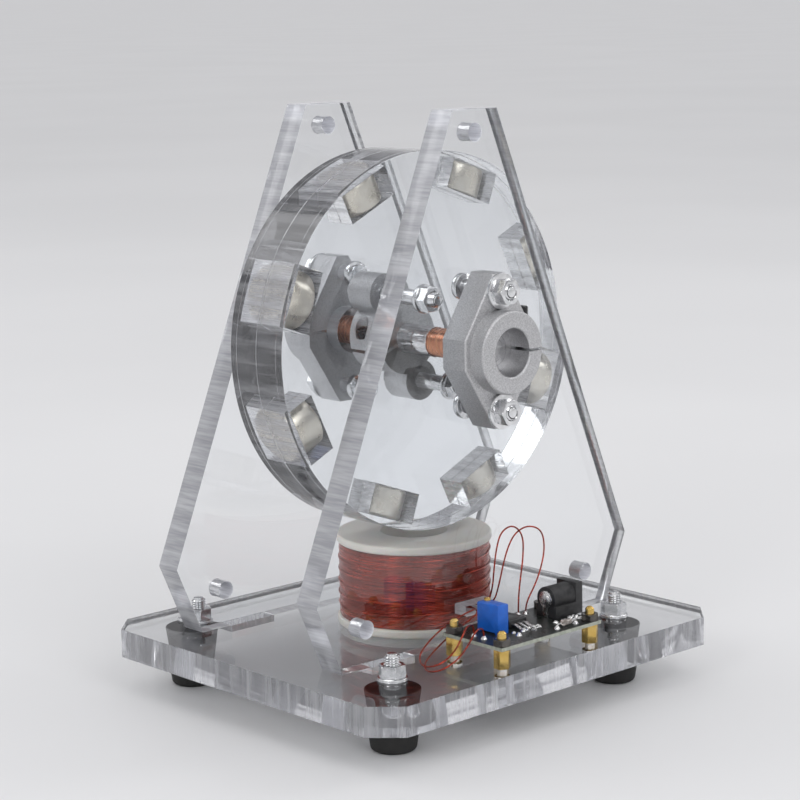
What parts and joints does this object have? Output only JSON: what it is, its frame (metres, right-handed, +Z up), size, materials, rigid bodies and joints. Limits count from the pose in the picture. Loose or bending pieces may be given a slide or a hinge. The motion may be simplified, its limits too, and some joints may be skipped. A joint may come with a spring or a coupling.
{
  "type": "demonstration electric motor",
  "caption": "Clear desktop pulse motor: magnet wheel on a shaft between two clear uprights, above a copper coil fed by a small circuit board.",
  "frame": {"origin": "on the surface the rubber feet rest on, below the middle of the base plate", "axes": "+Z up; the shaft runs along Y, with the circuit board's side, the front, towards -Y; +X to the right seen from the front, the side the power socket opens to"},
  "size_m": [0.16, 0.145, 0.2011],
  "materials": {
    "clear_acrylic": "clear cast sheet, polished faces, laser-cut edges",
    "blasted_aluminium": "fine sand-blasted",
    "zinc_steel": "bright zinc plated",
    "black_steel": "black oxide",
    "bearing_steel": "ground and polished",
    "nickel": "nickel plated",
    "copper": "drawn tube, satin",
    "brass": "turned",
    "dark_steel": "dark plated",
    "cream_plastic": "moulded, satin",
    "enamelled_wire": "clear red-brown enamel over copper",
    "black_board": "solder mask, satin",
    "black_plastic": "moulded, fine grain",
    "blue_plastic": "moulded, semi-gloss",
    "clear_glass": "clear, slightly amber",
    "tinned_metal": "tinned",
    "rubber": "matt black"
  },
  "bodies": {
    "stand": {"base_plate": "clear_acrylic", "rubber_feet": "rubber", "foot_bolts": "zinc_steel", "foot_washers": "zinc_steel", "foot_nuts": "zinc_steel", "front_frame": "clear_acrylic", "rear_frame": "clear_acrylic", "front_support": "blasted_aluminium", "rear_support": "blasted_aluminium", "support_clamp_screws": "black_steel", "support_bolts": "zinc_steel", "support_washers": "zinc_steel", "support_nuts": "zinc_steel", "bearing_outer_rings": "bearing_steel", "bearing_shields": "bearing_steel", "bobbin": "cream_plastic", "winding_core": "enamelled_wire", "winding": "enamelled_wire", "circuit_board": "black_board", "board_standoffs": "brass", "standoff_screws": "zinc_steel", "board_nuts": "dark_steel", "trimmer_body": "blue_plastic", "jack_housing": "black_plastic", "jack_pin": "tinned_metal", "jack_terminal": "tinned_metal", "transistor_body": "black_plastic", "transistor_leads": "tinned_metal", "diode_wire": "tinned_metal", "diode_body": "clear_glass", "solder_joints": "tinned_metal", "coil_lead_1": "enamelled_wire", "coil_lead_2": "enamelled_wire", "coil_lead_3": "enamelled_wire", "coil_lead_4": "enamelled_wire"},
    "rotor": {"rotor_front_cover": "clear_acrylic", "rotor_front_layer": "clear_acrylic", "rotor_rear_layer": "clear_acrylic", "rotor_rear_cover": "clear_acrylic", "rotor_magnets": "nickel", "rotor_hub": "blasted_aluminium", "hub_clamp_screw": "black_steel", "hub_bolts": "zinc_steel", "hub_washers": "zinc_steel", "hub_nuts": "zinc_steel", "shaft": "bearing_steel", "front_sleeve": "copper", "rear_sleeve": "copper", "bearing_inner_rings": "bearing_steel"},
    "front_ball_set": {"front_bearing_balls": "bearing_steel", "front_bearing_cage": "bearing_steel"},
    "rear_ball_set": {"rear_bearing_balls": "bearing_steel", "rear_bearing_cage": "bearing_steel"},
    "trimmer_adjuster": {"trimmer_screw": "brass"}
  },
  "joints": [
    {"name": "rotor_spin", "type": "hinge", "parent": "stand", "child": "rotor", "pos_m": [0, 0, 0.1222], "axis": [0, 1, 0], "continuous": true},
    {"name": "front_balls_spin", "type": "hinge", "parent": "stand", "child": "front_ball_set", "pos_m": [0, -0.039, 0.1222], "axis": [0, 1, 0], "continuous": true},
    {"name": "rear_balls_spin", "type": "hinge", "parent": "stand", "child": "rear_ball_set", "pos_m": [0, 0.0544, 0.1222], "axis": [0, 1, 0], "continuous": true},
    {"name": "trimmer_turn", "type": "hinge", "parent": "stand", "child": "trimmer_adjuster", "pos_m": [-0.0108, -0.0478, 0.041], "axis": [0, 0, 1], "continuous": true}
  ],
  "couplings": [
    {"joint": "front_balls_spin", "follows": "rotor_spin", "ratio": 0.43333},
    {"joint": "rear_balls_spin", "follows": "rotor_spin", "ratio": 0.43333}
  ]
}
